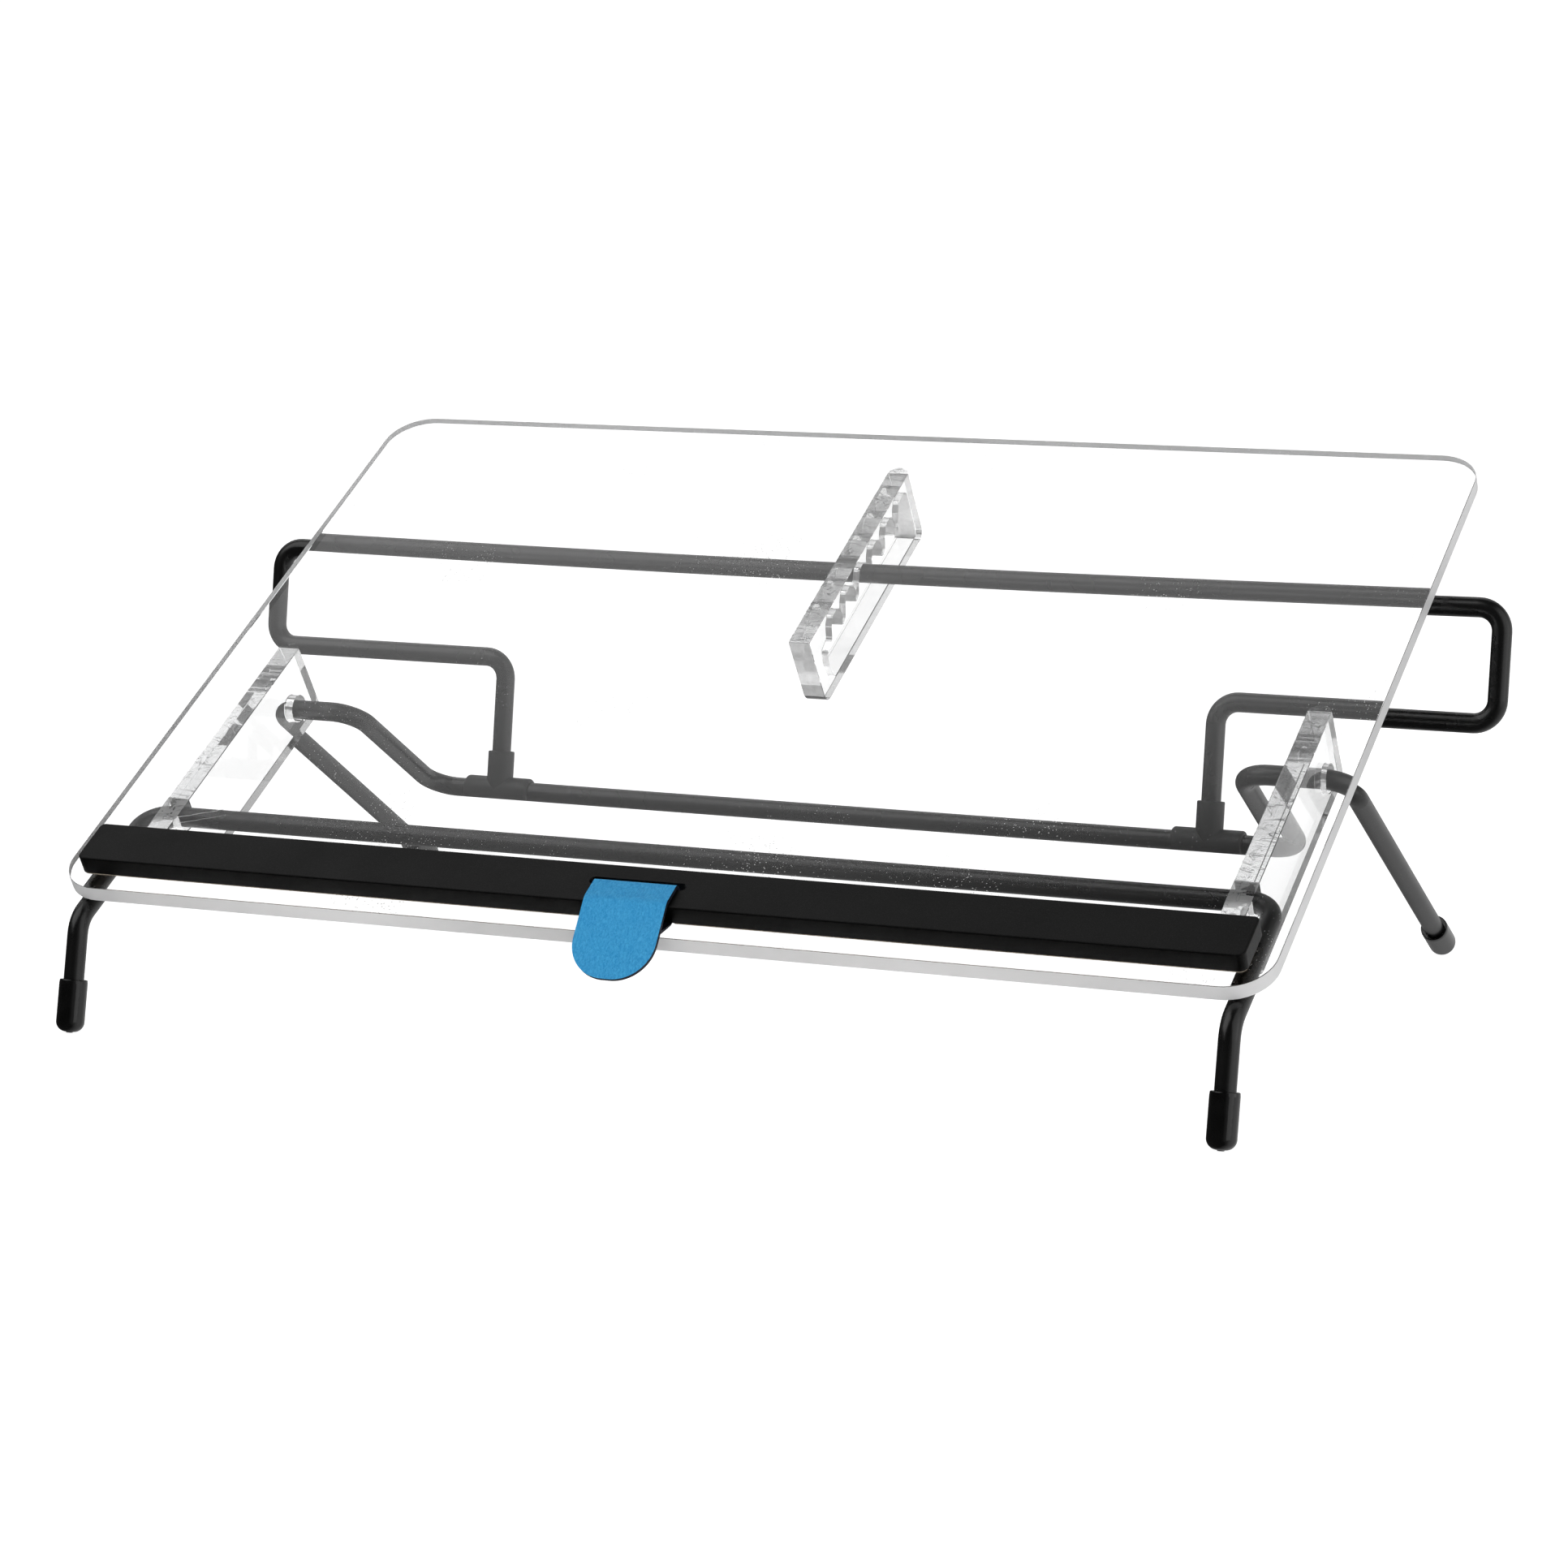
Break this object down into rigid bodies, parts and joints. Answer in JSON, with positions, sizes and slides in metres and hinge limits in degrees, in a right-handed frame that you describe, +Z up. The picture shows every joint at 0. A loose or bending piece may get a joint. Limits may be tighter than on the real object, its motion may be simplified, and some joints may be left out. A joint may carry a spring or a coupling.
{
  "type": "document holder",
  "caption": "Sloping clear document board with a front ledge and pull tab, on black bent-rod stands whose prop drops into a notched rack.",
  "frame": {"origin": "on the table, in the middle of the footprint of the whole object", "axes": "+X across the width to the user's right, +Y away from the user towards the high back edge, +Z up"},
  "size_m": [0.5532, 0.3192, 0.205],
  "materials": {
    "clear_sheet": "clear cast acrylic sheet, polished",
    "clear_cement": "cured clear cement film",
    "black_bar": "black anodised, fine satin grain",
    "tape": "thin double-sided tape, fibrous edge",
    "blue_tab": "blue grained leathercloth",
    "dark_tab": "near-black backing",
    "black_rod": "black powder coat, semi-gloss",
    "black_cap": "glossy black vinyl",
    "black_tee": "matt black moulded plastic"
  },
  "bodies": {
    "board": {"top_plate": "clear_sheet", "side_bracket_left": "clear_sheet", "side_bracket_right": "clear_sheet", "height_rack": "clear_sheet", "bracket_bond_left": "clear_cement", "bracket_bond_right": "clear_cement", "rack_bond": "clear_cement", "ledge_bar": "black_bar", "ledge_tape": "tape", "tab_face": "blue_tab", "tab_backing": "dark_tab"},
    "front_stand": {"front_stand_rod": "black_rod", "front_foot_cap_left": "black_cap", "front_foot_cap_right": "black_cap"},
    "rear_stand": {"rear_stand_rod": "black_rod", "rear_foot_cap_left": "black_cap", "rear_foot_cap_right": "black_cap"},
    "prop_frame": {"prop_frame_rod": "black_rod", "prop_tee_left": "black_tee", "prop_tee_right": "black_tee"}
  },
  "joints": [
    {"name": "front_stand_fold", "type": "hinge", "parent": "board", "child": "front_stand", "pos_m": [0, -0.08743, 0.0708], "axis": [1, 0, 0], "range_deg": [0, 140]},
    {"name": "rear_stand_fold", "type": "hinge", "parent": "board", "child": "rear_stand", "pos_m": [0, 0.00618, 0.0976], "axis": [-1, 0, 0], "range_deg": [0, 12]},
    {"name": "prop_swing", "type": "hinge", "parent": "rear_stand", "child": "prop_frame", "pos_m": [0, 0.07083, 0.05448], "axis": [-1, 0, 0], "range_deg": [-8, 0]}
  ],
  "couplings": [
    {"joint": "prop_swing", "follows": "rear_stand_fold", "ratio": -0.649}
  ]
}
